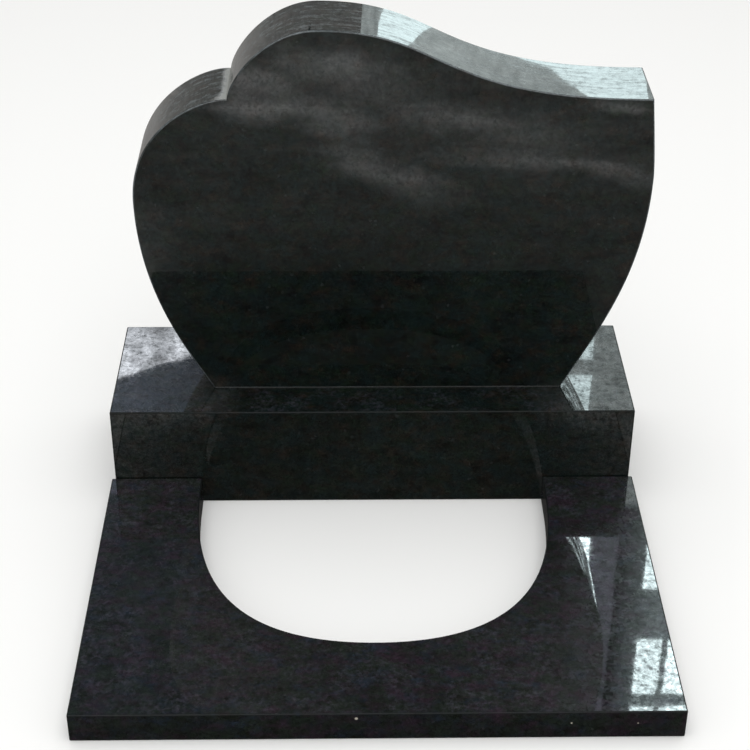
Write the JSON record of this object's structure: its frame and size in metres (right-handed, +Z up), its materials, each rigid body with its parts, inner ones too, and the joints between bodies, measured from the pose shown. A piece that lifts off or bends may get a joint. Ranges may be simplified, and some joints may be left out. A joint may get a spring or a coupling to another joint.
{
  "type": "granite tombstone with flat surround slab",
  "caption": "Upright polished headstone with a stepped round shoulder and a wave-shaped top, on a plain base block behind a flat U-shaped slab.",
  "frame": {"origin": "on the ground, in the middle of the whole footprint", "axes": "+Z up, -Y the side the headstone faces, +X to the right seen from the front"},
  "size_m": [0.77, 0.7362, 0.7133],
  "materials": {
    "headstone_granite": "mirror-polished near-black granite with faint grey cloud",
    "block_granite": "polished near-black granite with a fine grey fleck",
    "slab_granite": "polished near-black granite with a faint purple-brown and blue-grey mottle"
  },
  "bodies": {
    "root": {"headstone": "headstone_granite", "base_block": "block_granite", "flat_slab": "slab_granite"}
  },
  "joints": []
}
